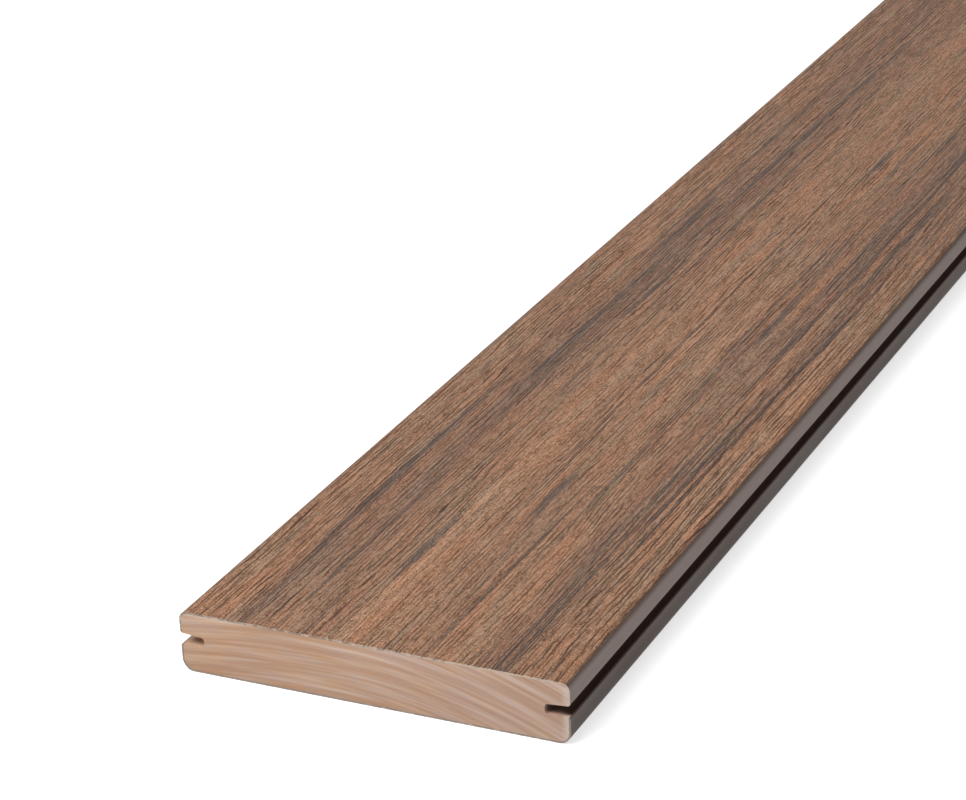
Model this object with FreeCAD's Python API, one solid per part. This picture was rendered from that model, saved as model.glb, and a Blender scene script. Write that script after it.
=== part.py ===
import FreeCAD
import Part
import math
import os
from FreeCAD import Vector

# Grooved-edge composite decking board, millimetres, lying flat with its walking face up.
# X runs along the board, Y across it, Z up; the origin is the centre of the underside.

# Size of the board
board_length = 2400.0
board_width = 140.0
board_thickness = 22.0

# Extruded section: softly rounded top edges, rounder bottom edges
top_edge_radius = 3.0
bottom_edge_radius = 4.4

# Thin cap that is extruded all round the foamed core
cap_thickness = 0.7

# Groove milled along each edge for hidden clips, tapering a little towards its root
groove_floor_height = 9.7
groove_mouth_height = 4.2
groove_root_height = 3.5
groove_depth = 8.8
groove_root_radius = 1.1
lip_edge_radius = 1.0

# How far the milling tool reaches out past the edge of the board
tool_overrun = 3.0


def tangent_arc(before, corner, after, radius):
    """Return the start, middle and end of the arc that rounds a corner."""
    to_before = (before - corner).normalize()
    to_after = (after - corner).normalize()
    half_angle = to_before.getAngle(to_after) / 2.0
    reach = radius / math.tan(half_angle)
    inward = (to_before + to_after).normalize()
    centre = corner + inward * (radius / math.sin(half_angle))
    return corner + to_before * reach, centre - inward * radius, corner + to_after * reach


def section_face(corners):
    """Make a face across the board from (y, z, corner radius) points in order."""
    start_x = -board_length / 2.0
    points = [Vector(start_x, y, z) for y, z, _ in corners]
    edges = []
    first_point = None
    last_point = None
    for index, (_, _, radius) in enumerate(corners):
        corner = points[index]
        if radius > 0.0:
            before = points[index - 1]
            after = points[(index + 1) % len(points)]
            arc_start, arc_middle, arc_end = tangent_arc(before, corner, after, radius)
        else:
            arc_start = arc_end = corner
        if last_point is None:
            first_point = arc_start
        else:
            edges.append(Part.LineSegment(last_point, arc_start).toShape())
        if radius > 0.0:
            edges.append(Part.Arc(arc_start, arc_middle, arc_end).toShape())
        last_point = arc_end
    edges.append(Part.LineSegment(last_point, first_point).toShape())
    return Part.Face(Part.Wire(edges))


def along_board(face):
    """Run a section the whole length of the board."""
    return face.extrude(Vector(board_length, 0.0, 0.0))


def rounded_bar(inset):
    """Make the board's ungrooved bar, with every face moved in by the inset."""
    side = board_width / 2.0 - inset
    bottom = inset
    top = board_thickness - inset
    return along_board(section_face([
        (-side, bottom, bottom_edge_radius - inset),
        (side, bottom, bottom_edge_radius - inset),
        (side, top, top_edge_radius - inset),
        (-side, top, top_edge_radius - inset),
    ]))


def groove_tool(side_sign):
    """Make the space that the milling cutter clears along one edge."""
    edge = board_width / 2.0
    root = edge - groove_depth
    floor = groove_floor_height
    ceiling_at_mouth = floor + groove_mouth_height
    ceiling_at_root = floor + groove_root_height
    taper = (ceiling_at_mouth - ceiling_at_root) / groove_depth
    outside = edge + tool_overrun
    ceiling_outside = ceiling_at_mouth + taper * tool_overrun
    return along_board(section_face([
        (side_sign * outside, floor, 0.0),
        (side_sign * outside, ceiling_outside, 0.0),
        (side_sign * root, ceiling_at_root, groove_root_radius),
        (side_sign * root, floor, groove_root_radius),
    ]))


def is_lip_edge(edge):
    """Tell whether an edge is a sharp lip left where a groove meets the side face."""
    if len(edge.Vertexes) != 2:
        return False
    start, end = (vertex.Point for vertex in edge.Vertexes)
    lip_heights = (groove_floor_height, groove_floor_height + groove_mouth_height)
    runs_along = abs(abs(end.x - start.x) - board_length) < 0.001
    on_side = abs(abs(start.y) - board_width / 2.0) < 0.001
    at_lip = min(abs(start.z - height) for height in lip_heights) < 0.001
    return runs_along and on_side and at_lip


def grooved_board():
    """Make the whole finished board as one solid: extruded, milled, lips eased."""
    bar = rounded_bar(0.0)
    milled = bar.cut(groove_tool(1.0)).cut(groove_tool(-1.0))
    lip_edges = [edge for edge in milled.Edges if is_lip_edge(edge)]
    return milled.makeFillet(lip_edge_radius, lip_edges)


def split_layers(board):
    """Part the finished board at the cap's inner face."""
    inner_bar = rounded_bar(cap_thickness)
    core = board.common(inner_bar)
    skins = sorted(board.cut(inner_bar).Solids, key=lambda solid: solid.CenterOfMass.z)
    return {"core": core.Solids[0], "bottom_cap": skins[0], "top_cap": skins[-1]}


os.makedirs("parts", exist_ok=True)
for node, shape in split_layers(grooved_board()).items():
    shape.exportStep("parts/" + node + ".step")
    print(node, "volume", round(shape.Volume / 1000.0, 1), "cm3, valid", shape.isValid())
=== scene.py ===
import bpy
import bmesh
import math
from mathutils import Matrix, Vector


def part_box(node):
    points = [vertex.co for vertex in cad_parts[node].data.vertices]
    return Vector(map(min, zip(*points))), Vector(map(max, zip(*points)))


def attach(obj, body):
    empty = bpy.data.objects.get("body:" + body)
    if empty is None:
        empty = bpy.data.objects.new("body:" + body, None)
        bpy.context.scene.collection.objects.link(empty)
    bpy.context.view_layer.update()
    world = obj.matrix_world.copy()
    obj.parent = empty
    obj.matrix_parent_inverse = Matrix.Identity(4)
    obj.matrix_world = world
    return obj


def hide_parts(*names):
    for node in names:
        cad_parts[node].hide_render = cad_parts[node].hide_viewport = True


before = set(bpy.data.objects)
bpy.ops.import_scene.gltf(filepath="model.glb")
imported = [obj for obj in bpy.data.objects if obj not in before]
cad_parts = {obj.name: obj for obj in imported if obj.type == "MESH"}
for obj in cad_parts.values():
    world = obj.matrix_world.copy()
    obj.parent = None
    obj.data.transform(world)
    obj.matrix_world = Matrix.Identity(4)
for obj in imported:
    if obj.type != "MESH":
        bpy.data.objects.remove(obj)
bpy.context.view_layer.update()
print("frame loaded:", sorted(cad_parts))

# metres; X runs along the board, Y across it, Z up through the walking face
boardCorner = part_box("top_cap")[1]
board = {
    "halfLength": boardCorner.x,
    "halfWidth": boardCorner.y,
    "height": boardCorner.z,
    "capThickness": 0.0007,
    "grooveFloor": 0.0097,
    "grooveCeiling": 0.0139,  # at the side; it tapers down towards the root
    "grooveRootCeiling": 0.0132,
    "grooveDepth": 0.0088,
}
board["taper"] = (board["grooveCeiling"] - board["grooveRootCeiling"]) / board["grooveDepth"]
tiny = 0.00001  # two places closer together than this are the same


# helpers for modelling

def deselectAll():
    if bpy.context.mode != "OBJECT":
        bpy.ops.object.mode_set(mode="OBJECT")
    bpy.ops.object.select_all(action="DESELECT")


def selectOnly(piece):
    deselectAll()
    piece.select_set(True)
    bpy.context.view_layer.objects.active = piece


def settle(piece):
    # puts the piece's place, turn and scale into its mesh
    selectOnly(piece)
    bpy.ops.object.transform_apply(location=True, rotation=True, scale=True)


def pick(piece, kind, test):
    # selects only the vertices or edges of the piece that pass the test
    bpy.ops.mesh.select_mode(type=kind)
    bpy.ops.mesh.select_all(action="DESELECT")
    shape = bmesh.from_edit_mesh(piece.data)
    for part in shape.verts if kind == "VERT" else shape.edges:
        if test(part):
            part.select_set(True)
    shape.select_flush_mode()
    bmesh.update_edit_mesh(piece.data)


def near(value, target):
    return abs(value - target) < tiny


def bothEnds(edge, test):
    return test(edge.verts[0]) and test(edge.verts[1])


def openEdge(edge, test):
    return len(edge.link_faces) == 1 and bothEnds(edge, test)


def longEdge(edge, test):
    # an edge that runs the length of the board
    return bothEnds(edge, test) and edge.calc_length() > board["halfLength"]


def finishPiece(piece, name, node, material, smoothAngle=40):
    settle(piece)
    bpy.ops.object.shade_smooth_by_angle(angle=math.radians(smoothAngle))
    # keeps the flats flat beside the rounds
    shading = piece.modifiers.new("evenShading", "WEIGHTED_NORMAL")
    shading.keep_sharp = True
    bpy.ops.object.modifier_apply(modifier="evenShading")
    piece.name = name
    piece.data.name = name
    piece.data.materials.clear()
    piece.data.materials.append(material)
    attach(piece, "root")
    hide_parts(node)
    print("made", name, "with", len(piece.data.polygons), "faces")


# helpers for nodes

def paint(red, green, blue):
    # a screen colour of 0 to 255 as the linear colour that a node takes
    return tuple(((c / 255 + 0.055) / 1.055) ** 2.4 for c in (red, green, blue)) + (1.0,)


def addNode(tree, kind, place, **settings):
    # place is the column and row of the node in the editor
    node = tree.nodes.new(kind)
    node.location = (place[0] * 200, place[1] * -180)
    for key, value in settings.items():
        setattr(node, key, value)
    return node


def feed(tree, source, node, socket):
    # source is an output socket, a colour or a number
    if isinstance(source, bpy.types.NodeSocket):
        tree.links.new(source, node.inputs[socket])
    else:
        node.inputs[socket].default_value = source


def feedAll(tree, node, **sources):
    for socket, source in sources.items():
        feed(tree, source, node, socket)


def calc(tree, place, operation, first, second=0.0, clamp=False):
    node = addNode(tree, "ShaderNodeMath", place, operation=operation, use_clamp=clamp)
    feed(tree, first, node, 0)
    feed(tree, second, node, 1)
    return node.outputs[0]


def spread(tree, place, value, low, high, toLow=0.0, toHigh=1.0, smooth=True):
    # toLow where the value is low, toHigh where it is high, and held beyond both
    node = addNode(tree, "ShaderNodeMapRange", place)
    node.interpolation_type = "SMOOTHSTEP" if smooth else "LINEAR"
    feedAll(tree, node, Value=value, **{
        "From Min": low, "From Max": high, "To Min": toLow, "To Max": toHigh})
    return node.outputs["Result"]


def swing(tree, place, value, amount):
    # how far a value of 0 to 1 is off its middle, times the amount
    column, row = place
    offMiddle = calc(tree, place, "SUBTRACT", value, 0.5)
    return calc(tree, (column + 1, row), "MULTIPLY", offMiddle, amount)


def splitVector(tree, place, source):
    node = addNode(tree, "ShaderNodeSeparateXYZ", place)
    feed(tree, source, node, 0)
    return node.outputs["X"], node.outputs["Y"], node.outputs["Z"]


def joinVector(tree, place, x=0.0, y=0.0, z=0.0):
    node = addNode(tree, "ShaderNodeCombineXYZ", place)
    feedAll(tree, node, X=x, Y=y, Z=z)
    return node.outputs[0]


def addNoise(tree, place, source, scale, detail, roughness=0.5):
    node = addNode(tree, "ShaderNodeTexNoise", place)
    feedAll(tree, node, Vector=source, Scale=scale, Detail=detail, Roughness=roughness)
    return node.outputs[0]


def blendColour(tree, place, amount, first, second, mode="MIX"):
    node = addNode(tree, "ShaderNodeMix", place, data_type="RGBA", blend_type=mode)
    feed(tree, amount, node, 0)
    feed(tree, first, node, 6)
    feed(tree, second, node, 7)
    return node.outputs[2]


def timesColour(tree, place, first, second):
    return blendColour(tree, place, 1.0, first, second, "MULTIPLY")


def colourRamp(tree, place, value, stops):
    node = addNode(tree, "ShaderNodeValToRGB", place)
    ramp = node.color_ramp
    ramp.elements[0].position, ramp.elements[0].color = stops[0]
    ramp.elements[1].position, ramp.elements[1].color = stops[-1]
    for position, shade in stops[1:-1]:
        ramp.elements.new(position).color = shade
    feed(tree, value, node, "Fac")
    return node.outputs["Color"]


def useGroup(tree, group, place, **sources):
    kind = "GeometryNodeGroup" if tree.bl_idname == "GeometryNodeTree" else "ShaderNodeGroup"
    node = addNode(tree, kind, place, node_tree=group)
    feedAll(tree, node, **sources)
    return node


number, vector, colour, geometry = (
    "NodeSocketFloat", "NodeSocketVector", "NodeSocketColor", "NodeSocketGeometry")


def newGroup(name, treeType, inputs, outputs):
    group = bpy.data.node_groups.new(name, treeType)
    for way, sockets in (("INPUT", inputs), ("OUTPUT", outputs)):
        for socketName, kind in sockets.items():
            group.interface.new_socket(name=socketName, in_out=way, socket_type=kind)
    start = addNode(group, "NodeGroupInput", (-1, 0))
    end = addNode(group, "NodeGroupOutput", (14, 0))
    return group, start.outputs, end


# effects that more than one material uses
# a range in any of the settings is the value where a change begins and the one where it ends, and
# then what it gives there, which is 0 and 1 where the range doesn't say

grainEffects = {
    # cycles per metre along and across the board of the slow wander of all streaks
    "wanderAlong": 4.0,
    "wanderAcross": 22.0,
    "wanderDetail": 1.5,
    # noises that bend, jog and break the pressed lines, as multiples of the lines' own spacing
    "bend": {"along": 1.0, "across": 0.13, "seed": 0.0, "Wander": 0.002, "Detail": 3.0, "Ragged": 0.5},
    "jogs": {"along": 24.0, "across": 0.4, "seed": 3.3, "Wander": 0.0, "Detail": 2.0, "Ragged": 0.5},
    "breaks": {"along": 6.5, "across": 0.6, "seed": 7.7, "Wander": 0.001, "Detail": 2.0, "Ragged": 0.6},
    "breakFade": 0.10,
    # where the coarse lines are strong, by the place across the board
    "besideMinusY": (-0.036, -0.054, 0.12, 0.95),
    "besidePlusY": (0.040, 0.056, 0.0, 0.68),
    "strengthPatches": {"Along": 5.0, "Across": 60.0, "Wander": 0.004, "Detail": 2.0, "Ragged": 0.5,
                        "Seed": 21.0},
    "strengthRange": (0.35, 0.65, 0.75, 1.15),
    # how ragged the placed dark streaks are, and how they fade out, as squares of their half size
    "streakTorn": 1.7,
    "streakFade": (1.2, -0.1),
    "turnDepth": 0.0006,  # below the face by this much, the side is laid out flat
}


def makeStreaks(treeType, s):
    # noise drawn out along the board, with a slow sideways wander; 0 to 1 about 0.5
    group, given, end = newGroup("boardStreaks", treeType, {
        "Vector": vector, "Along": number, "Across": number, "Wander": number,
        "Detail": number, "Ragged": number, "Seed": number}, {"Value": number})
    x, y, _ = splitVector(group, (0, 0), given["Vector"])
    slow = joinVector(group, (1, 1), calc(group, (0, 1), "MULTIPLY", x, s["wanderAlong"]),
                      calc(group, (0, 2), "MULTIPLY", y, s["wanderAcross"]), given["Seed"])
    wander = addNoise(group, (2, 1), slow, 1.0, s["wanderDetail"])
    across = calc(group, (5, 0), "ADD", y, swing(group, (3, 1), wander, given["Wander"]))
    drawn = joinVector(group, (7, 0), calc(group, (6, 0), "MULTIPLY", x, given["Along"]),
                       calc(group, (6, 1), "MULTIPLY", across, given["Across"]), given["Seed"])
    noise = addNoise(group, (8, 0), drawn, 1.0, given["Detail"], given["Ragged"])
    feed(group, noise, end, "Value")
    return group


def makeGrainLines(treeType, s, streaks):
    # pressed lines that run side by side, with small jogs and breaks; 1 in a line, 0 between lines
    group, given, end = newGroup("pressedLines", treeType, {
        "Vector": vector, "Along": number, "Across": number, "Width": number,
        "Sway": number, "Jog": number, "Breaks": number, "Seed": number}, {"Line": number})

    def lineNoise(name, row):
        settings = dict(s[name])
        along = calc(group, (0, row), "MULTIPLY", given["Along"], settings.pop("along"))
        across = calc(group, (0, row + 1), "MULTIPLY", given["Across"], settings.pop("across"))
        seed = calc(group, (0, row + 2), "ADD", given["Seed"], settings.pop("seed"))
        return useGroup(group, streaks, (1, row), Vector=given["Vector"], Along=along, Across=across,
                        Seed=seed, **settings).outputs[0]

    _, y, _ = splitVector(group, (3, 4), given["Vector"])
    phase = calc(group, (4, 3), "MULTIPLY", y, given["Across"])
    phase = calc(group, (5, 2), "ADD", phase, swing(group, (2, 0), lineNoise("bend", 0), given["Sway"]))
    phase = calc(group, (6, 2), "ADD", phase, swing(group, (2, 3), lineNoise("jogs", 3), given["Jog"]))
    away = calc(group, (8, 2), "SUBTRACT", calc(group, (7, 2), "FRACT", phase), 0.5)
    away = calc(group, (9, 2), "ABSOLUTE", away)
    halfWidth = calc(group, (9, 3), "MULTIPLY", given["Width"], 0.5)
    line = spread(group, (10, 1), away, 0.0, halfWidth, 1.0, 0.0)
    low = calc(group, (2, 6), "SUBTRACT", given["Breaks"], s["breakFade"])
    high = calc(group, (2, 7), "ADD", given["Breaks"], s["breakFade"])
    kept = spread(group, (3, 6), lineNoise("breaks", 6), low, high)
    feed(group, calc(group, (11, 0), "MULTIPLY", line, kept), end, "Line")
    return group


def makeLineStrength(treeType, s, streaks):
    # the coarse lines are strongest beside the -Y edge, weaker beside the +Y edge, faint between
    group, given, end = newGroup("lineStrength", treeType, {"Vector": vector}, {"Value": number})
    _, y, _ = splitVector(group, (0, 0), given["Vector"])
    total = calc(group, (2, 0), "ADD", spread(group, (1, 0), y, *s["besideMinusY"]),
                 spread(group, (1, 1), y, *s["besidePlusY"]))
    patches = useGroup(group, streaks, (1, 3), Vector=given["Vector"], **s["strengthPatches"])
    patchy = spread(group, (2, 3), patches.outputs[0], *s["strengthRange"], smooth=False)
    feed(group, calc(group, (3, 0), "MULTIPLY", total, patchy), end, "Value")
    return group


def makeDarkStreak(s):
    # one long dark streak or lens with ragged ends, at a set place on the face
    group, given, end = newGroup("darkStreak", "ShaderNodeTree", {
        "Vector": vector, "Ragged": number, "PlaceX": number, "PlaceY": number, "HalfLength": number,
        "HalfWidth": number, "Lean": number, "Before": number}, {"Mask": number})
    x, y, _ = splitVector(group, (0, 0), given["Vector"])
    along = calc(group, (1, 0), "SUBTRACT", x, given["PlaceX"])
    across = calc(group, (1, 1), "SUBTRACT", y, given["PlaceY"])
    lean = calc(group, (2, 2), "MULTIPLY", along, given["Lean"])
    across = calc(group, (2, 1), "SUBTRACT", across, lean)
    along = calc(group, (3, 0), "DIVIDE", along, given["HalfLength"])
    across = calc(group, (3, 1), "DIVIDE", across, given["HalfWidth"])
    reach = calc(group, (5, 0), "ADD", calc(group, (4, 0), "MULTIPLY", along, along),
                 calc(group, (4, 1), "MULTIPLY", across, across))
    reach = calc(group, (6, 0), "ADD", reach, swing(group, (3, 3), given["Ragged"], s["streakTorn"]))
    mask = spread(group, (7, 0), reach, *s["streakFade"])
    feed(group, calc(group, (8, 0), "MAXIMUM", mask, given["Before"]), end, "Mask")
    return group


def makeUnroll(s):
    # lays the sides out flat beside the face, so that streaks run on round the edge
    group, given, end = newGroup(
        "unrollSkin", "ShaderNodeTree", {"FaceHeight": number, "SideWay": number},
        {"Flat": vector, "X": number, "Y": number, "Z": number, "Depth": number})
    place = addNode(group, "ShaderNodeTexCoord", (-1, 2)).outputs["Object"]
    x, y, z = splitVector(group, (0, 1), place)
    depth = calc(group, (1, 1), "SUBTRACT", given["FaceHeight"], z)
    depth = calc(group, (2, 1), "MULTIPLY", depth, given["SideWay"])
    below = calc(group, (3, 1), "SUBTRACT", depth, s["turnDepth"])
    below = calc(group, (4, 1), "MAXIMUM", below, 0.0)
    extra = calc(group, (5, 1), "MULTIPLY", below, calc(group, (1, 2), "SIGN", y))
    flat = joinVector(group, (7, 1), x, calc(group, (6, 1), "ADD", y, extra))
    feedAll(group, end, Flat=flat, X=x, Y=y, Z=z, Depth=depth)
    return group


sawnEdge = {
    "endPlane": (-0.00002, -0.00001),  # metres past the end
    "speckScale": 330.0,
    "speckDetail": 3.0,
    "speckRoughness": 0.6,
    "speckFade": 0.2,
    "tornSide": (0.02, -0.055),  # places across the board
    "burr": (0.00045, 0.0002, 0.0, 0.55),  # metres in from the outer side
    "burrSpecks": (0.38, 0.56),
}


def makeCutEdge(s):
    # the thin cut edge of the cap on the board's sawn ends, greyish with pale torn specks
    group, given, end = newGroup("sawnCapEdge", "ShaderNodeTree", {
        "HalfLength": number, "FaceHeight": number, "Dull": colour, "Pale": colour,
        "Specks": number, "Torn": number}, {"Color": colour, "Mask": number})
    place = addNode(group, "ShaderNodeTexCoord", (-1, 2)).outputs["Object"]
    x, y, z = splitVector(group, (0, 2), place)
    past = calc(group, (2, 3), "SUBTRACT", calc(group, (1, 2), "ABSOLUTE", x), given["HalfLength"])
    mask = spread(group, (3, 2), past, *s["endPlane"], smooth=False)
    specks = addNoise(group, (1, 0), place, s["speckScale"], s["speckDetail"], s["speckRoughness"])
    # the saw has left it paler and more torn towards the -Y edge
    torn = calc(group, (2, 2), "MULTIPLY", spread(group, (1, 1), y, *s["tornSide"]), given["Torn"])
    low = calc(group, (2, 1), "SUBTRACT", given["Specks"], torn)
    pale = spread(group, (3, 0), specks, low, calc(group, (2, 0), "ADD", low, s["speckFade"]))
    # a pale burr stands along the outer side of the cut
    inward = calc(group, (1, 4), "SUBTRACT", given["FaceHeight"], z)
    burr = spread(group, (3, 4), calc(group, (2, 4), "ABSOLUTE", inward), *s["burr"])
    burr = calc(group, (4, 4), "MULTIPLY", burr, spread(group, (3, 5), specks, *s["burrSpecks"]))
    pale = calc(group, (4, 1), "ADD", pale, burr, clamp=True)
    feedAll(group, end, Color=blendColour(group, (5, 0), pale, given["Dull"], given["Pale"]), Mask=mask)
    return group


streaks = makeStreaks("ShaderNodeTree", grainEffects)
pressedLines = makeGrainLines("ShaderNodeTree", grainEffects, streaks)
lineStrength = makeLineStrength("ShaderNodeTree", grainEffects, streaks)
darkStreak = makeDarkStreak(grainEffects)
unrollSkin = makeUnroll(grainEffects)
sawnCapEdge = makeCutEdge(sawnEdge)
reliefStreaks = makeStreaks("GeometryNodeTree", grainEffects)
reliefLines = makeGrainLines("GeometryNodeTree", grainEffects, reliefStreaks)
reliefStrength = makeLineStrength("GeometryNodeTree", grainEffects, reliefStreaks)
print("node groups ready")


def newMaterial(name):
    material = bpy.data.materials.new(name)
    material.use_nodes = True
    tree = material.node_tree
    return material, tree, tree.nodes["Principled BSDF"]


def finishShader(tree, shader, column, look, roughness, shine, height, depth):
    # height and depth are the bump's
    bump = addNode(tree, "ShaderNodeBump", (column - 1, 6))
    feedAll(tree, bump, Strength=1.0, Distance=depth, Height=height)
    feedAll(tree, shader, Roughness=roughness, Normal=bump.outputs[0],
            **{"Base Color": look, "Specular IOR Level": shine})
    shader.location = (column * 200, 0)
    tree.nodes["Material Output"].location = (column * 200 + 300, 0)


# the embossed cap: face, rounded edges and upper lips

topCap = {
    "edgeRadius": 0.003,
    "lipRadius": 0.001,  # easing where the groove breaks out through the side
    "alongSteps": 390,
    "acrossSteps": 222,
    "edgeSteps": 5,
    "lipSteps": 3,
    # the real relief
    "coarseLines": {"Along": 5.0, "Across": 300.0, "Width": 0.31, "Sway": 4.5, "Jog": 0.5,
                    "Breaks": 0.41, "Seed": 3.1},
    "ridges": {"Along": 7.0, "Across": 240.0, "Wander": 0.003, "Detail": 2.0, "Ragged": 0.5, "Seed": 11.3},
    "lineDepth": 0.00022,
    "ridgeDepth": 0.00016,
    "hollows": (0.62, 0.3),
    "reliefEdge": (0.0014, 0.0004),  # depths below the face at which the relief begins and is full
    # the finest lines, painted and in the bump
    "fineLines": {"Along": 8.0, "Across": 640.0, "Width": 0.46, "Sway": 6.0, "Jog": 0.55,
                  "Breaks": 0.47, "Seed": 5.2},
    "finePatches": {"Along": 7.0, "Across": 90.0, "Wander": 0.004, "Detail": 2.0, "Ragged": 0.5,
                    "Seed": 27.4},
    "finePatchRange": (0.36, 0.64, 0.6, 1.1),
    "finePaleRange": (0.54, 0.66, 1.1, 0.6),
    "coarsePaint": 0.85,
    # the pressed lines' dark colour: partly the grain's own dark lines, partly painted shade in their
    # hollows
    "lineGrainAndShade": paint(61, 41, 31),
    # streaks from the widest to the smallest, and how far each swings the colour
    "broad": {"Along": 2.2, "Across": 100.0, "Wander": 0.006, "Detail": 3.0, "Ragged": 0.55, "Seed": 1.7},
    "middle": {"Along": 5.0, "Across": 420.0, "Wander": 0.004, "Detail": 3.0, "Ragged": 0.6, "Seed": 4.4},
    "thin": {"Along": 55.0, "Across": 900.0, "Wander": 0.003, "Detail": 3.0, "Ragged": 0.65, "Seed": 8.9},
    "fibres": {"Along": 300.0, "Across": 1300.0, "Wander": 0.001, "Detail": 2.0, "Ragged": 0.6,
               "Seed": 12.6},
    "specks": {"Along": 1600.0, "Across": 1900.0, "Wander": 0.0, "Detail": 1.0, "Ragged": 0.5,
               "Seed": 19.3},
    "swings": {"broad": 0.78, "middle": 0.7, "thin": 1.1, "fibres": 1.2, "specks": 1.9},
    # how light each strip across the width is on the whole, from the +Y edge to the -Y edge
    "stripLevels": [
        (0.00, 0.58), (0.11, 0.56), (0.16, 0.45), (0.24, 0.45), (0.31, 0.49), (0.38, 0.53), (0.43, 0.66),
        (0.50, 0.58), (0.60, 0.52), (0.72, 0.50), (0.77, 0.39), (0.86, 0.43), (0.91, 0.51), (1.00, 0.52)],
    "woodColours": [
        (0.10, paint(112, 86, 71)), (0.35, paint(138, 105, 85)), (0.50, paint(152, 115, 90)),
        (0.70, paint(165, 125, 98)), (0.95, paint(177, 135, 107))],
    "gains": [
        (0.00, (0.34, 0.28, 0.22, 1)), (0.50, (1.0, 0.99, 0.97, 1)), (1.00, (1.45, 1.56, 1.68, 1))],
    # greyer and more orange streaks, whatever their brightness
    "hue": {"Along": 14.0, "Across": 170.0, "Wander": 0.004, "Detail": 7.0, "Ragged": 0.68, "Seed": 15.1},
    "tints": [
        (0.36, (0.88, 1.01, 1.08, 1)), (0.50, (1.0, 1.0, 1.0, 1)), (0.64, (1.10, 0.985, 0.92, 1))],
    # charcoal streaks, long and thin, gathered in the darker strips: the strip's level sets from
    # which value of the noise they begin, and they are weaker where the grain is light
    "charred": {"Along": 2.6, "Across": 430.0, "Wander": 0.004, "Detail": 4.0, "Ragged": 0.6,
                "Seed": 31.7},
    "charredFrom": (0.38, 0.60, 0.51, 0.64),
    "charredFade": 0.08,
    "charredMost": 0.9,
    "charredGrain": (-0.3, 0.3, 0.98, 0.62),
    "charcoal": paint(75, 67, 63),
    # dark streaks at set places: X, Y, half length, half width, sideways lean
    "darkStreaks": [
        (-1.075, 0.0487, 0.110, 0.0018, 0.000), (-0.815, 0.0440, 0.050, 0.0027, 0.000),
        (-0.680, 0.0345, 0.190, 0.0016, -0.006), (-1.130, 0.0335, 0.080, 0.0014, -0.010),
        (-0.885, 0.0292, 0.040, 0.0016, -0.020), (-1.127, 0.0133, 0.030, 0.0023, 0.000),
        (-0.900, -0.0025, 0.300, 0.0007, 0.000), (-1.080, -0.0105, 0.030, 0.0025, 0.000),
        (-0.715, -0.0095, 0.022, 0.0018, 0.000), (-1.130, -0.0205, 0.085, 0.0009, -0.016),
        (-0.875, -0.0228, 0.100, 0.0008, 0.000), (-0.900, -0.0293, 0.042, 0.0016, 0.000),
        (-0.680, -0.0300, 0.032, 0.0015, 0.000), (-0.920, -0.0425, 0.034, 0.0021, 0.000),
        (-0.700, -0.0415, 0.038, 0.0018, 0.000), (-1.045, -0.0455, 0.050, 0.0014, 0.000),
        (-1.035, -0.0505, 0.085, 0.0018, -0.004), (-0.800, -0.0497, 0.085, 0.0019, 0.006),
    ],
    # distances from the board's middle line where painted shade darkens the grain and it gives way to the
    # edge
    "paintedEdgeShade": (0.0679, 0.0692, 1.0, 0.62),
    "grainEnd": (0.0695, 0.0682),
    # painted shade: the dark band along the rounded edge
    "paintedShadeBand": paint(52, 39, 33),
    "sideStart": (0.0004, 0.0026),  # depths below the face
    "sideMottle": (0.3, 0.7, 0.9, 1.08),
    "sideColour": paint(163, 147, 140),
    "cutDull": paint(144, 128, 116),
    "cutPale": paint(196, 177, 160),
    "cutSpecks": 0.45,
    "cutTorn": 0.20,
    "roughness": (0.3, 0.7, 0.54, 0.68),
    "shine": 0.15,
    # how far the grit, thin streaks and fibres rise in the bump, as shares of a fine line's depth
    "grit": {"Along": 375.0, "Across": 6400.0, "Wander": 0.0, "Detail": 2.0, "Ragged": 0.5, "Seed": 36.2},
    "gritRise": 0.25,
    "thinRise": 0.9,
    "fibreRise": 0.5,
    "fineDepth": 0.00016,
}
# the height where the lip's easing begins, so that it meets the sloping ceiling of the groove
topCap["lipStart"] = board["grooveCeiling"] + topCap["lipRadius"] * (
    math.sqrt(1 + board["taper"] ** 2) - board["taper"])


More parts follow.
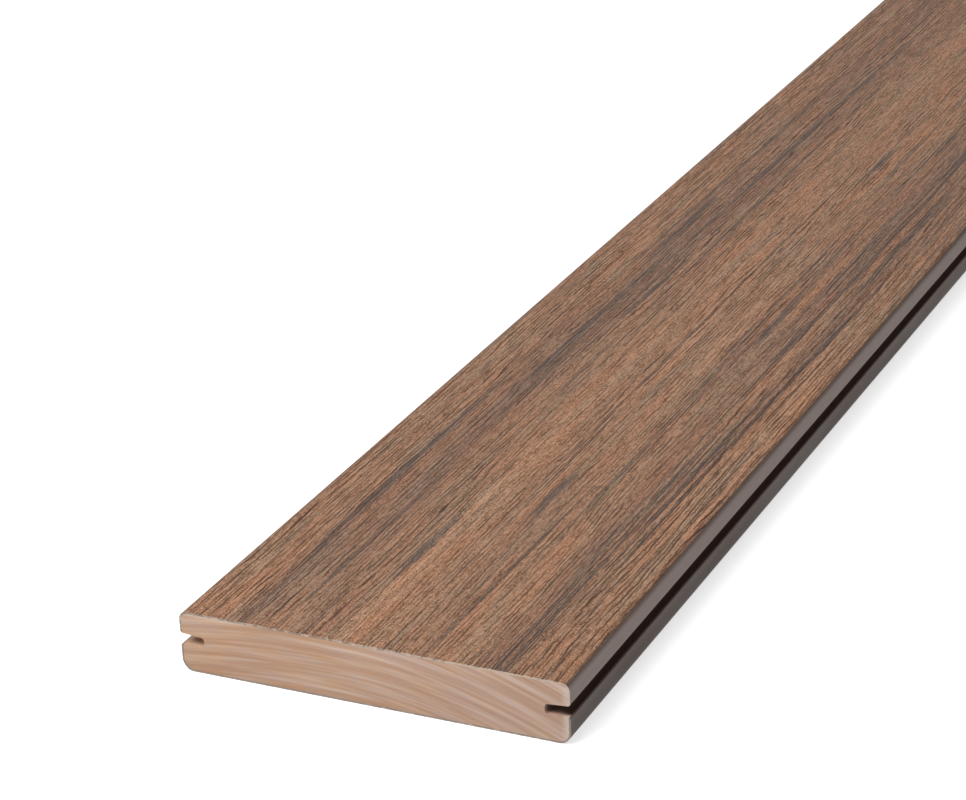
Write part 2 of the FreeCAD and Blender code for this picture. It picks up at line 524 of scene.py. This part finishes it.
def makeEmbossedCap(s):
    material, tree, shader = newMaterial("embossedCap")
    skin = useGroup(tree, unrollSkin, (0, 0), FaceHeight=board["height"], SideWay=1.0).outputs
    flat = skin["Flat"]

    def drawStreaks(name, place):
        return useGroup(tree, streaks, place, Vector=flat, **s[name]).outputs[0]

    broad = drawStreaks("broad", (1, 0))
    middle = drawStreaks("middle", (1, 2))
    thin = drawStreaks("thin", (1, 4))
    fibres = drawStreaks("fibres", (1, 8))
    specks = drawStreaks("specks", (1, 10))
    fromEdge = spread(tree, (1, 6), skin["Y"], board["halfWidth"], -board["halfWidth"], smooth=False)
    strips = colourRamp(tree, (2, 6), fromEdge, [
        (place, (level, level, level, 1)) for place, level in s["stripLevels"]])
    large = calc(tree, (4, 0), "ADD", swing(tree, (2, 0), broad, s["swings"]["broad"]), strips)
    wood = colourRamp(tree, (5, 0), large, s["woodColours"])
    small = swing(tree, (2, 2), middle, s["swings"]["middle"])
    for row, name, drawn in ((4, "thin", thin), (8, "fibres", fibres), (10, "specks", specks)):
        small = calc(tree, (4, row), "ADD", small, swing(tree, (2, row), drawn, s["swings"][name]))
    gain = colourRamp(tree, (6, 2), calc(tree, (5, 4), "ADD", small, 0.5), s["gains"])
    wood = timesColour(tree, (7, 0), wood, gain)
    tint = colourRamp(tree, (6, 3), drawStreaks("hue", (5, 3)), s["tints"])
    wood = timesColour(tree, (8, 0), wood, tint)
    charFrom = spread(tree, (5, 10), strips, *s["charredFrom"], smooth=False)
    charTo = calc(tree, (6, 11), "ADD", charFrom, s["charredFade"])
    charred = spread(tree, (6, 10), drawStreaks("charred", (5, 9)), charFrom, charTo, 0.0, s["charredMost"])
    for order, (x, y, halfLength, halfWidth, lean) in enumerate(s["darkStreaks"]):
        streak = useGroup(tree, darkStreak, (6 + order, 13), Vector=flat, Ragged=thin, Before=charred,
                          PlaceX=x, PlaceY=y, HalfLength=halfLength, HalfWidth=halfWidth, Lean=lean)
        charred = streak.outputs["Mask"]
    # the grain still shows through the charcoal
    charred = calc(tree, (8, 10), "MULTIPLY", charred, spread(tree, (7, 11), small, *s["charredGrain"]))
    wood = blendColour(tree, (9, 0), charred, wood, s["charcoal"])
    coarse = useGroup(tree, pressedLines, (5, 5), Vector=flat, **s["coarseLines"]).outputs[0]
    strength = useGroup(tree, lineStrength, (5, 6), Vector=flat).outputs[0]
    coarse = calc(tree, (6, 5), "MULTIPLY", coarse, strength)
    coarse = calc(tree, (7, 5), "MULTIPLY", coarse, s["coarsePaint"], clamp=True)
    # the fine lines come and go in patches, and are faint in the palest strip
    fine = useGroup(tree, pressedLines, (5, 7), Vector=flat, **s["fineLines"]).outputs[0]
    patchy = spread(tree, (5, 8), drawStreaks("finePatches", (4, 8)), *s["finePatchRange"], smooth=False)
    patchy = calc(tree, (6, 8), "MULTIPLY", patchy, spread(tree, (5, 11), strips, *s["finePaleRange"]))
    # the pressed lines painted dark: grain lines, with painted shade in their hollows
    linesAndShade = calc(tree, (8, 5), "MAXIMUM", coarse, calc(tree, (7, 7), "MULTIPLY", fine, patchy))
    wood = blendColour(tree, (10, 1), linesAndShade, wood, s["lineGrainAndShade"])
    # painted shade: the grain darkens as it turns over, away from the light, then come a band of painted
    # shade and the plain side and lip
    fromMiddle = calc(tree, (3, 9), "ABSOLUTE", skin["Y"])
    wood = timesColour(tree, (11, 0), wood, spread(tree, (10, 3), fromMiddle, *s["paintedEdgeShade"]))
    onFace = spread(tree, (4, 9), fromMiddle, *s["grainEnd"])
    sideMottle = spread(tree, (6, 9), middle, *s["sideMottle"], smooth=False)
    side = timesColour(tree, (8, 9), s["sideColour"], sideMottle)
    onSide = spread(tree, (7, 10), skin["Depth"], *s["sideStart"])
    edge = blendColour(tree, (9, 9), onSide, s["paintedShadeBand"], side)
    look = blendColour(tree, (11, 2), onFace, edge, wood)
    cut = useGroup(tree, sawnCapEdge, (9, 11), HalfLength=board["halfLength"], FaceHeight=board["height"],
                   Dull=s["cutDull"], Pale=s["cutPale"], Specks=s["cutSpecks"], Torn=s["cutTorn"]).outputs
    look = blendColour(tree, (12, 0), cut["Mask"], look, cut["Color"])
    roughness = spread(tree, (11, 3), middle, *s["roughness"], smooth=False)
    height = calc(tree, (10, 6), "MULTIPLY", calc(tree, (9, 6), "MULTIPLY", fine, -1.0), onFace)
    grit = drawStreaks("grit", (9, 7))
    rises = ((11, grit, s["gritRise"]), (12, thin, s["thinRise"]), (13, fibres, s["fibreRise"]))
    for column, drawn, rise in rises:
        part = calc(tree, (column - 1, 7), "MULTIPLY", drawn, rise)
        height = calc(tree, (column, 6), "ADD", height, part)
    finishShader(tree, shader, 17, look, roughness, s["shine"], height, s["fineDepth"])
    return material


def makeRelief(s):
    # presses the coarse lines and ridges into the face, never above it
    group, given, end = newGroup(
        "pressedRelief", "GeometryNodeTree", {"Geometry": geometry}, {"Geometry": geometry})
    place = addNode(group, "GeometryNodeInputPosition", (0, 2))
    x, y, z = splitVector(group, (1, 3), place.outputs[0])
    flat = joinVector(group, (2, 2), x, y)
    coarse = useGroup(group, reliefLines, (3, 2), Vector=flat, **s["coarseLines"]).outputs[0]
    strength = useGroup(group, reliefStrength, (3, 3), Vector=flat).outputs[0]
    ridges = useGroup(group, reliefStreaks, (3, 4), Vector=flat, **s["ridges"]).outputs[0]
    pressed = calc(group, (4, 2), "MULTIPLY", coarse, strength)
    pressed = calc(group, (5, 2), "MULTIPLY", pressed, s["lineDepth"])
    hollow = calc(group, (5, 4), "MULTIPLY", spread(group, (4, 4), ridges, *s["hollows"]), s["ridgeDepth"])
    reliefStart, reliefFull = (board["height"] - depth for depth in s["reliefEdge"])
    onFace = spread(group, (4, 6), z, reliefStart, reliefFull)
    drop = calc(group, (6, 3), "MULTIPLY", calc(group, (6, 2), "ADD", pressed, hollow), onFace)
    move = addNode(group, "GeometryNodeSetPosition", (9, 0))
    down = joinVector(group, (8, 2), z=calc(group, (7, 3), "MULTIPLY", drop, -1.0))
    feedAll(group, move, Geometry=given["Geometry"], Offset=down)
    feed(group, move.outputs[0], end, 0)
    return group


def shapeSkin(s, faceHeight, way):
    # the outer face of a cap: a flat sheet, edges spun round, walls drawn out, lips spun in
    deselectAll()
    flatHalf = board["halfWidth"] - s["edgeRadius"]
    bpy.ops.mesh.primitive_grid_add(x_subdivisions=s["alongSteps"], y_subdivisions=s["acrossSteps"],
                                    size=1, location=(0, 0, faceHeight))
    skin = bpy.context.object
    skin.scale = (2 * board["halfLength"], 2 * flatHalf, 1)
    settle(skin)
    bpy.ops.object.mode_set(mode="EDIT")
    centreHeight = faceHeight + way * s["edgeRadius"]
    landing = max(board["capThickness"] - s["lipRadius"], 0)  # flat top of the lip, inside its easing
    lipTurn = math.acos(1 - (board["capThickness"] - landing) / s["lipRadius"])
    for side in (1, -1):
        pick(skin, "EDGE", lambda e: openEdge(e, lambda v: near(v.co.y, side * flatHalf)))
        bpy.ops.mesh.spin(steps=s["edgeSteps"], angle=-way * side * math.pi / 2,
                          center=(0, side * flatHalf, centreHeight), axis=(1, 0, 0))
        bpy.ops.mesh.extrude_region_move(
            TRANSFORM_OT_translate={"value": (0, 0, s["lipStart"] - centreHeight)})
        lipCentre = side * (board["halfWidth"] - s["lipRadius"])
        bpy.ops.mesh.spin(steps=s["lipSteps"], angle=-way * side * lipTurn,
                          center=(0, lipCentre, s["lipStart"]), axis=(1, 0, 0))
        if landing > 0:
            bpy.ops.mesh.extrude_region_move(TRANSFORM_OT_translate={"value": (0, -side * landing, 0)})
    bpy.ops.object.mode_set(mode="OBJECT")
    return skin


def closeSkin(skin, s, faceHeight, way):
    # gives the sheet its thickness: sawn edges at both ends, then one long inner face
    flatHalf = board["halfWidth"] - s["edgeRadius"]
    centreHeight = faceHeight + way * s["edgeRadius"]
    innerHalf = board["halfWidth"] - board["capThickness"]
    innerHeight = faceHeight + way * board["capThickness"]
    shrink = 1 - board["capThickness"] / s["edgeRadius"]
    wallReach = board["halfWidth"] - 0.002  # only the side, its lip and the edge lie farther out
    bpy.ops.object.mode_set(mode="EDIT")
    firstNew = len(skin.data.vertices)
    for end in (-1, 1):
        count = len(bmesh.from_edit_mesh(skin.data).verts)
        pick(skin, "EDGE", lambda e: openEdge(e, lambda v: near(v.co.x, end * board["halfLength"])))
        bpy.ops.mesh.extrude_region_move(TRANSFORM_OT_translate={"value": (0, 0, 0)})
        pick(skin, "VERT", lambda v: v.index >= count and abs(v.co.y) < flatHalf - tiny)
        bpy.ops.transform.translate(value=(0, 0, way * board["capThickness"]))
        bpy.ops.transform.resize(value=(1, 1, 0), center_override=(0, 0, innerHeight))
        for side in (1, -1):
            def onCorner(v):
                return side * v.co.y > flatHalf - tiny and way * (v.co.z - centreHeight) < tiny
            pick(skin, "VERT", lambda v: v.index >= count and onCorner(v))
            bpy.ops.transform.resize(value=(1, shrink, shrink),
                                     center_override=(0, side * flatHalf, centreHeight))
            pick(skin, "VERT", lambda v: v.index >= count and side * v.co.y > wallReach and not onCorner(v))
            bpy.ops.transform.resize(value=(1, 0, 1), center_override=(0, side * innerHalf, 0))
    pick(skin, "EDGE", lambda e: openEdge(
        e, lambda v: v.index >= firstNew and way * (v.co.z - s["lipStart"]) < tiny))
    bpy.ops.mesh.bridge_edge_loops()
    bpy.ops.mesh.select_all(action="SELECT")
    bpy.ops.mesh.remove_doubles(threshold=tiny)
    for side in (1, -1):
        pick(skin, "EDGE", lambda e: openEdge(e, lambda v: side * v.co.y > wallReach))
        bpy.ops.mesh.edge_face_add()
    bpy.ops.mesh.select_all(action="SELECT")
    bpy.ops.mesh.normals_make_consistent(inside=False)
    bpy.ops.object.mode_set(mode="OBJECT")


embossedCap = makeEmbossedCap(topCap)
topSkin = shapeSkin(topCap, board["height"], -1)
relief = topSkin.modifiers.new("relief", "NODES")
relief.node_group = makeRelief(topCap)
bpy.ops.object.modifier_apply(modifier="relief")
closeSkin(topSkin, topCap, board["height"], -1)
finishPiece(topSkin, "topCap", "top_cap", embossedCap)


# the plain cap: underside, rounded edges and lower lips

bottomCap = {
    "edgeRadius": 0.0044,
    "lipRadius": 0.0004,
    "alongSteps": 60,
    "acrossSteps": 26,
    "edgeSteps": 9,
    "lipSteps": 4,
    "drawLines": {"Along": 4.0, "Across": 420.0, "Wander": 0.001, "Detail": 3.0, "Ragged": 0.6,
                  "Seed": 2.3},
    "clouds": {"Along": 12.0, "Across": 60.0, "Wander": 0.004, "Detail": 3.0, "Ragged": 0.6, "Seed": 6.1},
    "lineShare": 0.6,
    "mottle": (0.55, 1.05, 0.82, 1.14),
    "colour": paint(91, 77, 71),
    # heights from the start of the lip's easing
    # painted light: the lip's upper edge made paler, as if lit from above, and the side below it a little
    # darker
    "lipPaintedLight": (-0.0030, 0.0002, 0.95, 1.22),
    "eased": (0.0003, 0.00038),
    "easedLip": paint(104, 89, 81),
    "cutDull": paint(140, 127, 118),
    "cutPale": paint(190, 175, 162),
    "cutSpecks": 0.56,
    "cutTorn": 0.03,
    "roughness": (0.3, 0.7, 0.46, 0.6),
    "shine": 0.2,
    "lineDepth": 0.00008,
}
bottomCap["lipStart"] = board["grooveFloor"] - bottomCap["lipRadius"]


def makePlainCap(s):
    material, tree, shader = newMaterial("plainCap")
    skin = useGroup(tree, unrollSkin, (0, 0), FaceHeight=0.0, SideWay=-1.0).outputs
    drawLines = useGroup(tree, streaks, (1, 0), Vector=skin["Flat"], **s["drawLines"]).outputs[0]
    clouds = useGroup(tree, streaks, (1, 2), Vector=skin["Flat"], **s["clouds"]).outputs[0]
    tone = calc(tree, (2, 1), "MULTIPLY", drawLines, s["lineShare"])
    tone = calc(tree, (2, 0), "ADD", tone, clouds)
    mottle = spread(tree, (3, 0), tone, *s["mottle"], smooth=False)
    look = timesColour(tree, (4, 0), s["colour"], mottle)
    # painted light: paler towards the lip, as if lit from above, a little darker below, and plain on its
    # easing
    lipLightFrom, lipLightTo, plain, paintedLighter = s["lipPaintedLight"]
    lipPaintedLight = spread(tree, (3, 1), skin["Z"], s["lipStart"] + lipLightFrom, s["lipStart"] + lipLightTo,
                    plain, paintedLighter)
    look = timesColour(tree, (4, 1), look, lipPaintedLight)
    easedFrom, easedTo = s["eased"]
    eased = spread(tree, (3, 2), skin["Z"], s["lipStart"] + easedFrom, s["lipStart"] + easedTo)
    look = blendColour(tree, (5, 1), eased, look, s["easedLip"])
    cut = useGroup(tree, sawnCapEdge, (4, 3), HalfLength=board["halfLength"], FaceHeight=0.0,
                   Dull=s["cutDull"], Pale=s["cutPale"], Specks=s["cutSpecks"], Torn=s["cutTorn"]).outputs
    look = blendColour(tree, (6, 0), cut["Mask"], look, cut["Color"])
    roughness = spread(tree, (5, 2), clouds, *s["roughness"], smooth=False)
    finishShader(tree, shader, 8, look, roughness, s["shine"], drawLines, s["lineDepth"])
    return material


plainCap = makePlainCap(bottomCap)
bottomSkin = shapeSkin(bottomCap, 0.0, 1)
closeSkin(bottomSkin, bottomCap, 0.0, 1)
finishPiece(bottomSkin, "bottomCap", "bottom_cap", plainCap)


# the foamed core, with a groove milled along each edge

foamCore = {
    "topRadius": topCap["edgeRadius"] - board["capThickness"],
    "bottomRadius": bottomCap["edgeRadius"] - board["capThickness"],
    "rootRadius": 0.0011,
    "rootSteps": 5,
    "cutterOverrun": 0.003,  # past the side
    "cutterEndOverrun": 0.01,
    "cellScale": 1600.0,
    "cellDetail": 2.0,
    "archMiddle": 0.018,
    "archSteep": (0.02, -0.05, 1.5, 2.6),
    # cycles per metre across, up and along the board
    "bands": (22.0, 560.0, 3.0),
    "bandRoughness": 0.5,
    "patches": (60.0, 300.0, 4.0),
    "patchRoughness": 0.6,
    "meltDetail": 3.0,
    "foamColours": [
        (0.28, paint(169, 132, 107)), (0.50, paint(183, 150, 127)), (0.72, paint(200, 175, 157))],
    "pinkSide": (0.03, -0.06, -0.02, 0.16),
    "tints": [(0.36, (1.03, 0.975, 0.90, 1)), (0.50, (1.0, 1.0, 1.0, 1)), (0.66, (0.985, 1.02, 1.12, 1))],
    "paleUpwards": (0.002, 0.020, 0.955, 1.045),
    # painted light: the upper corner beside the +Y groove, where the light falls, made paler
    "paintedLightCorner": (0.035, 0.065, 0.0, 0.06),
    "paintedLightHeight": (0.011, 0.016),
    "paleMinusY": (0.0, -0.055, 0.0, 0.02),
    "rimMinusY": (-0.0662, -0.0692, 0.0, 0.75),
    "rimUnderCap": (board["height"] - 0.0019, board["height"] - 0.0008, 0.0, 0.85),
    "rimPlusY": (0.035, 0.062),
    "rimTorn": (0.36, 0.56, 0.45, 1.0),
    "rimColour": paint(204, 192, 180),
    # painted shade in the -Y groove: where it begins behind the sawn face, on which side, its mouth, and
    # the dark colours painted there
    "grooveStart": (board["halfLength"] - 0.0003, board["halfLength"] - 0.003),
    "shadedGrooveSide": (0.03, -0.03),
    "grooveMouth": (board["halfWidth"] - 0.005, board["halfWidth"] - 0.001),
    "paintedGrooveShade": paint(114, 90, 80),
    "paintedMouthShade": paint(60, 36, 28),  # darker, because more light falls there
    "roughness": 0.75,
    "shine": 0.2,
    "bandRise": 1.2,
    "cellDepth": 0.00008,
}


def makeCoreFoam(s):
    material, tree, shader = newMaterial("coreFoam")
    place = addNode(tree, "ShaderNodeTexCoord", (-1, 0)).outputs["Object"]
    x, y, z = splitVector(tree, (0, 0), place)
    cells = addNoise(tree, (6, 6), place, s["cellScale"], s["cellDetail"])
    # the melt flows in a wide arch over the middle of the section and falls away to one side
    offMiddle = calc(tree, (1, 0), "SUBTRACT", y, s["archMiddle"])
    arch = calc(tree, (2, 0), "MULTIPLY", offMiddle, offMiddle)
    arch = calc(tree, (3, 0), "MULTIPLY", arch, spread(tree, (2, 1), offMiddle, *s["archSteep"]))
    level = calc(tree, (4, 0), "ADD", z, arch)

    def meltNoise(row, cycles, roughness):
        flow = [calc(tree, (4, row + step), "MULTIPLY", way, cycles[step - 1])
                for step, way in enumerate((y, level, x), 1)]
        return addNoise(tree, (6, row), joinVector(tree, (5, row), *flow), 1.0, s["meltDetail"],
                        roughness)

    bands = meltNoise(0, s["bands"], s["bandRoughness"])
    foam = colourRamp(tree, (7, 0), bands, s["foamColours"])
    # pinkish grey patches in the melt, more of them towards the -Y side
    patches = meltNoise(4, s["patches"], s["patchRoughness"])
    pinkness = calc(tree, (7, 2), "ADD", patches, spread(tree, (5, 3), y, *s["pinkSide"]))
    foam = timesColour(tree, (9, 0), foam, colourRamp(tree, (8, 2), pinkness, s["tints"]))
    # paler towards the walking face, and painted light in the upper corner beside the +Y groove, where the
    # light falls from that side
    upper = spread(tree, (8, 4), z, *s["paleUpwards"], smooth=False)
    paintedLight = calc(tree, (9, 5), "MULTIPLY", spread(tree, (8, 5), y, *s["paintedLightCorner"]),
                  spread(tree, (8, 6), z, *s["paintedLightHeight"]))
    upper = calc(tree, (9, 4), "ADD", upper, paintedLight)
    upper = calc(tree, (10, 4), "ADD", upper, spread(tree, (9, 6), y, *s["paleMinusY"]))
    foam = timesColour(tree, (10, 1), foam, upper)
    # the saw has left a pale torn rim beside the -Y edge, and under the cap towards the +Y edge
    upperRim = calc(tree, (8, 11), "MULTIPLY", spread(tree, (7, 10), z, *s["rimUnderCap"]),
                    spread(tree, (7, 11), y, *s["rimPlusY"]))
    rim = calc(tree, (9, 10), "MAXIMUM", spread(tree, (8, 9), y, *s["rimMinusY"]), upperRim)
    rim = calc(tree, (10, 9), "MULTIPLY", rim, spread(tree, (8, 10), cells, *s["rimTorn"]))
    foam = blendColour(tree, (11, 1), rim, foam, s["rimColour"])
    # painted shade: behind the sawn face the milled foam of the -Y groove, which lies in shadow, is painted
    # dark
    reach = calc(tree, (8, 12), "ABSOLUTE", x)
    inside = calc(tree, (10, 12), "MULTIPLY", spread(tree, (9, 12), reach, *s["grooveStart"]),
                  spread(tree, (9, 13), y, *s["shadedGrooveSide"]))
    mouth = spread(tree, (9, 14), calc(tree, (8, 14), "ABSOLUTE", y), *s["grooveMouth"])
    shade = blendColour(tree, (10, 14), mouth, s["paintedGrooveShade"], s["paintedMouthShade"])
    foam = blendColour(tree, (12, 0), inside, foam, shade)
    height = calc(tree, (8, 7), "ADD", cells, calc(tree, (7, 7), "MULTIPLY", bands, s["bandRise"]))
    finishShader(tree, shader, 14, foam, s["roughness"], s["shine"], height, s["cellDepth"])
    return material


def makeGrooveCutter(s, side):
    # the space a cutter clears: straight floor, tapering ceiling, rounded root
    deselectAll()
    floor = board["grooveFloor"]
    outer = board["halfWidth"] + s["cutterOverrun"]
    root = board["halfWidth"] - board["grooveDepth"]
    outerCeiling = board["grooveCeiling"] + board["taper"] * s["cutterOverrun"]
    middle = (floor + outerCeiling) / 2
    bpy.ops.mesh.primitive_cube_add(size=1, location=(0, side * (outer + root) / 2, middle))
    cutter = bpy.context.object
    cutter.scale = (2 * (board["halfLength"] + s["cutterEndOverrun"]), outer - root, outerCeiling - floor)
    settle(cutter)
    bpy.ops.object.mode_set(mode="EDIT")
    pick(cutter, "VERT", lambda v: near(v.co.y, side * root))
    squeeze = (board["grooveRootCeiling"] - floor) / (outerCeiling - floor)
    bpy.ops.transform.resize(value=(1, 1, squeeze), center_override=(0, 0, floor))
    pick(cutter, "EDGE", lambda e: longEdge(e, lambda v: near(v.co.y, side * root)))
    bpy.ops.mesh.bevel(offset=s["rootRadius"], segments=s["rootSteps"])
    bpy.ops.object.mode_set(mode="OBJECT")
    return cutter


def makeCore(s):
    deselectAll()
    halfWidth = board["halfWidth"] - board["capThickness"]
    low = board["capThickness"]
    high = board["height"] - board["capThickness"]
    bpy.ops.mesh.primitive_cube_add(size=1, location=(0, 0, (low + high) / 2))
    core = bpy.context.object
    core.scale = (2 * board["halfLength"], 2 * halfWidth, high - low)
    settle(core)
    bpy.ops.object.mode_set(mode="EDIT")
    for height, radius, steps in ((high, s["topRadius"], topCap["edgeSteps"]),
                                  (low, s["bottomRadius"], bottomCap["edgeSteps"])):
        pick(core, "EDGE", lambda e: longEdge(e, lambda v: near(v.co.z, height)))
        bpy.ops.mesh.bevel(offset=radius, segments=steps)
    bpy.ops.object.mode_set(mode="OBJECT")
    for side in (1, -1):
        cutter = makeGrooveCutter(s, side)
        selectOnly(core)
        mill = core.modifiers.new("mill", "BOOLEAN")
        mill.operation = "DIFFERENCE"
        mill.solver = "EXACT"
        mill.object = cutter
        bpy.ops.object.modifier_apply(modifier="mill")
        bpy.data.objects.remove(cutter)
    return core


coreFoam = makeCoreFoam(foamCore)
core = makeCore(foamCore)
finishPiece(core, "foamCore", "core", coreFoam)


# floor, light and camera

studio = {
    "floorSize": 14.0,
    "floorColour": (0.6, 0.6, 0.6, 1.0),
    "floorRoughness": 0.9,
    "floorShine": 0.1,
    "floorGlow": 0.68,
    "skyLevel": 0.29,
    "white": (1.0, 1.0, 1.0, 1.0),
    "keyStrength": 1.2,
    "keyFrom": (-0.50, 0.34, 0.80),
    "keySoftness": 32,
    "glowPower": 8.5,
    "glowSize": 0.7,
    "glowPlace": (-1.75, 0.25, 0.95),
    "glowTurn": (0, -20, 0),
    "cameraPlace": (-1.96575, -0.41965, 0.48946),
    "cameraTurn": (66.2371, 2.4425, -64.9904),
    "lens": 115.27,
    "sensorWidth": 36.0,
    "clipStart": 0.01,
}


def inDegrees(turn):
    return [math.radians(angle) for angle in turn]


def seenRay(tree, column, row):
    # 1 for a ray from the camera, off a shiny surface or through glass, and 0 for one that lights
    path = addNode(tree, "ShaderNodeLightPath", (column, row)).outputs
    seen = calc(tree, (column + 1, row), "MAXIMUM", path["Is Camera Ray"], path["Is Glossy Ray"])
    return calc(tree, (column + 2, row), "MAXIMUM", seen, path["Is Transmission Ray"])


def makeFloor(s):
    deselectAll()
    bpy.ops.mesh.primitive_plane_add(size=s["floorSize"], location=(0, 0, 0))
    floor = bpy.context.object
    floor.name = "floor"
    material, tree, shader = newMaterial("floorPaper")
    glow = calc(tree, (3, 2), "MULTIPLY", seenRay(tree, 0, 2), s["floorGlow"])
    feedAll(tree, shader, Roughness=s["floorRoughness"], **{
        "Base Color": s["floorColour"], "Specular IOR Level": s["floorShine"],
        "Emission Color": s["white"], "Emission Strength": glow})
    shader.location = (900, 0)
    floor.data.materials.append(material)


def makeLight(s):
    world = bpy.data.worlds.new("studioSky")
    bpy.context.scene.world = world
    world.use_nodes = True
    tree = world.node_tree
    level = spread(tree, (-1, 0), seenRay(tree, -4, 0), 0.0, 1.0, s["skyLevel"], 1.0, smooth=False)
    feedAll(tree, tree.nodes["Background"], Color=s["white"], Strength=level)
    deselectAll()
    x, y, z = s["keyFrom"]
    bpy.ops.object.light_add(type="SUN", location=s["keyFrom"])
    key = bpy.context.object
    key.name = "keyLight"
    key.rotation_euler = (0, math.acos(z / math.sqrt(x * x + y * y + z * z)), math.atan2(y, x))
    key.data.energy = s["keyStrength"]
    key.data.angle = math.radians(s["keySoftness"])
    # a large lamp near the sawn end in front, so that the board falls off in brightness behind
    bpy.ops.object.light_add(type="AREA", location=s["glowPlace"], rotation=inDegrees(s["glowTurn"]))
    glow = bpy.context.object
    glow.name = "nearLamp"
    glow.data.shape = "DISK"
    glow.data.size = s["glowSize"]
    glow.data.energy = s["glowPower"]


def makeCamera(s):
    bpy.ops.object.camera_add(location=s["cameraPlace"], rotation=inDegrees(s["cameraTurn"]))
    camera = bpy.context.object
    camera.name = "photoCamera"
    camera.data.lens = s["lens"]
    camera.data.sensor_width = s["sensorWidth"]
    camera.data.clip_start = s["clipStart"]
    bpy.context.scene.camera = camera
    bpy.context.scene.view_settings.view_transform = "Standard"


makeFloor(studio)
makeLight(studio)
makeCamera(studio)
print("studio ready")
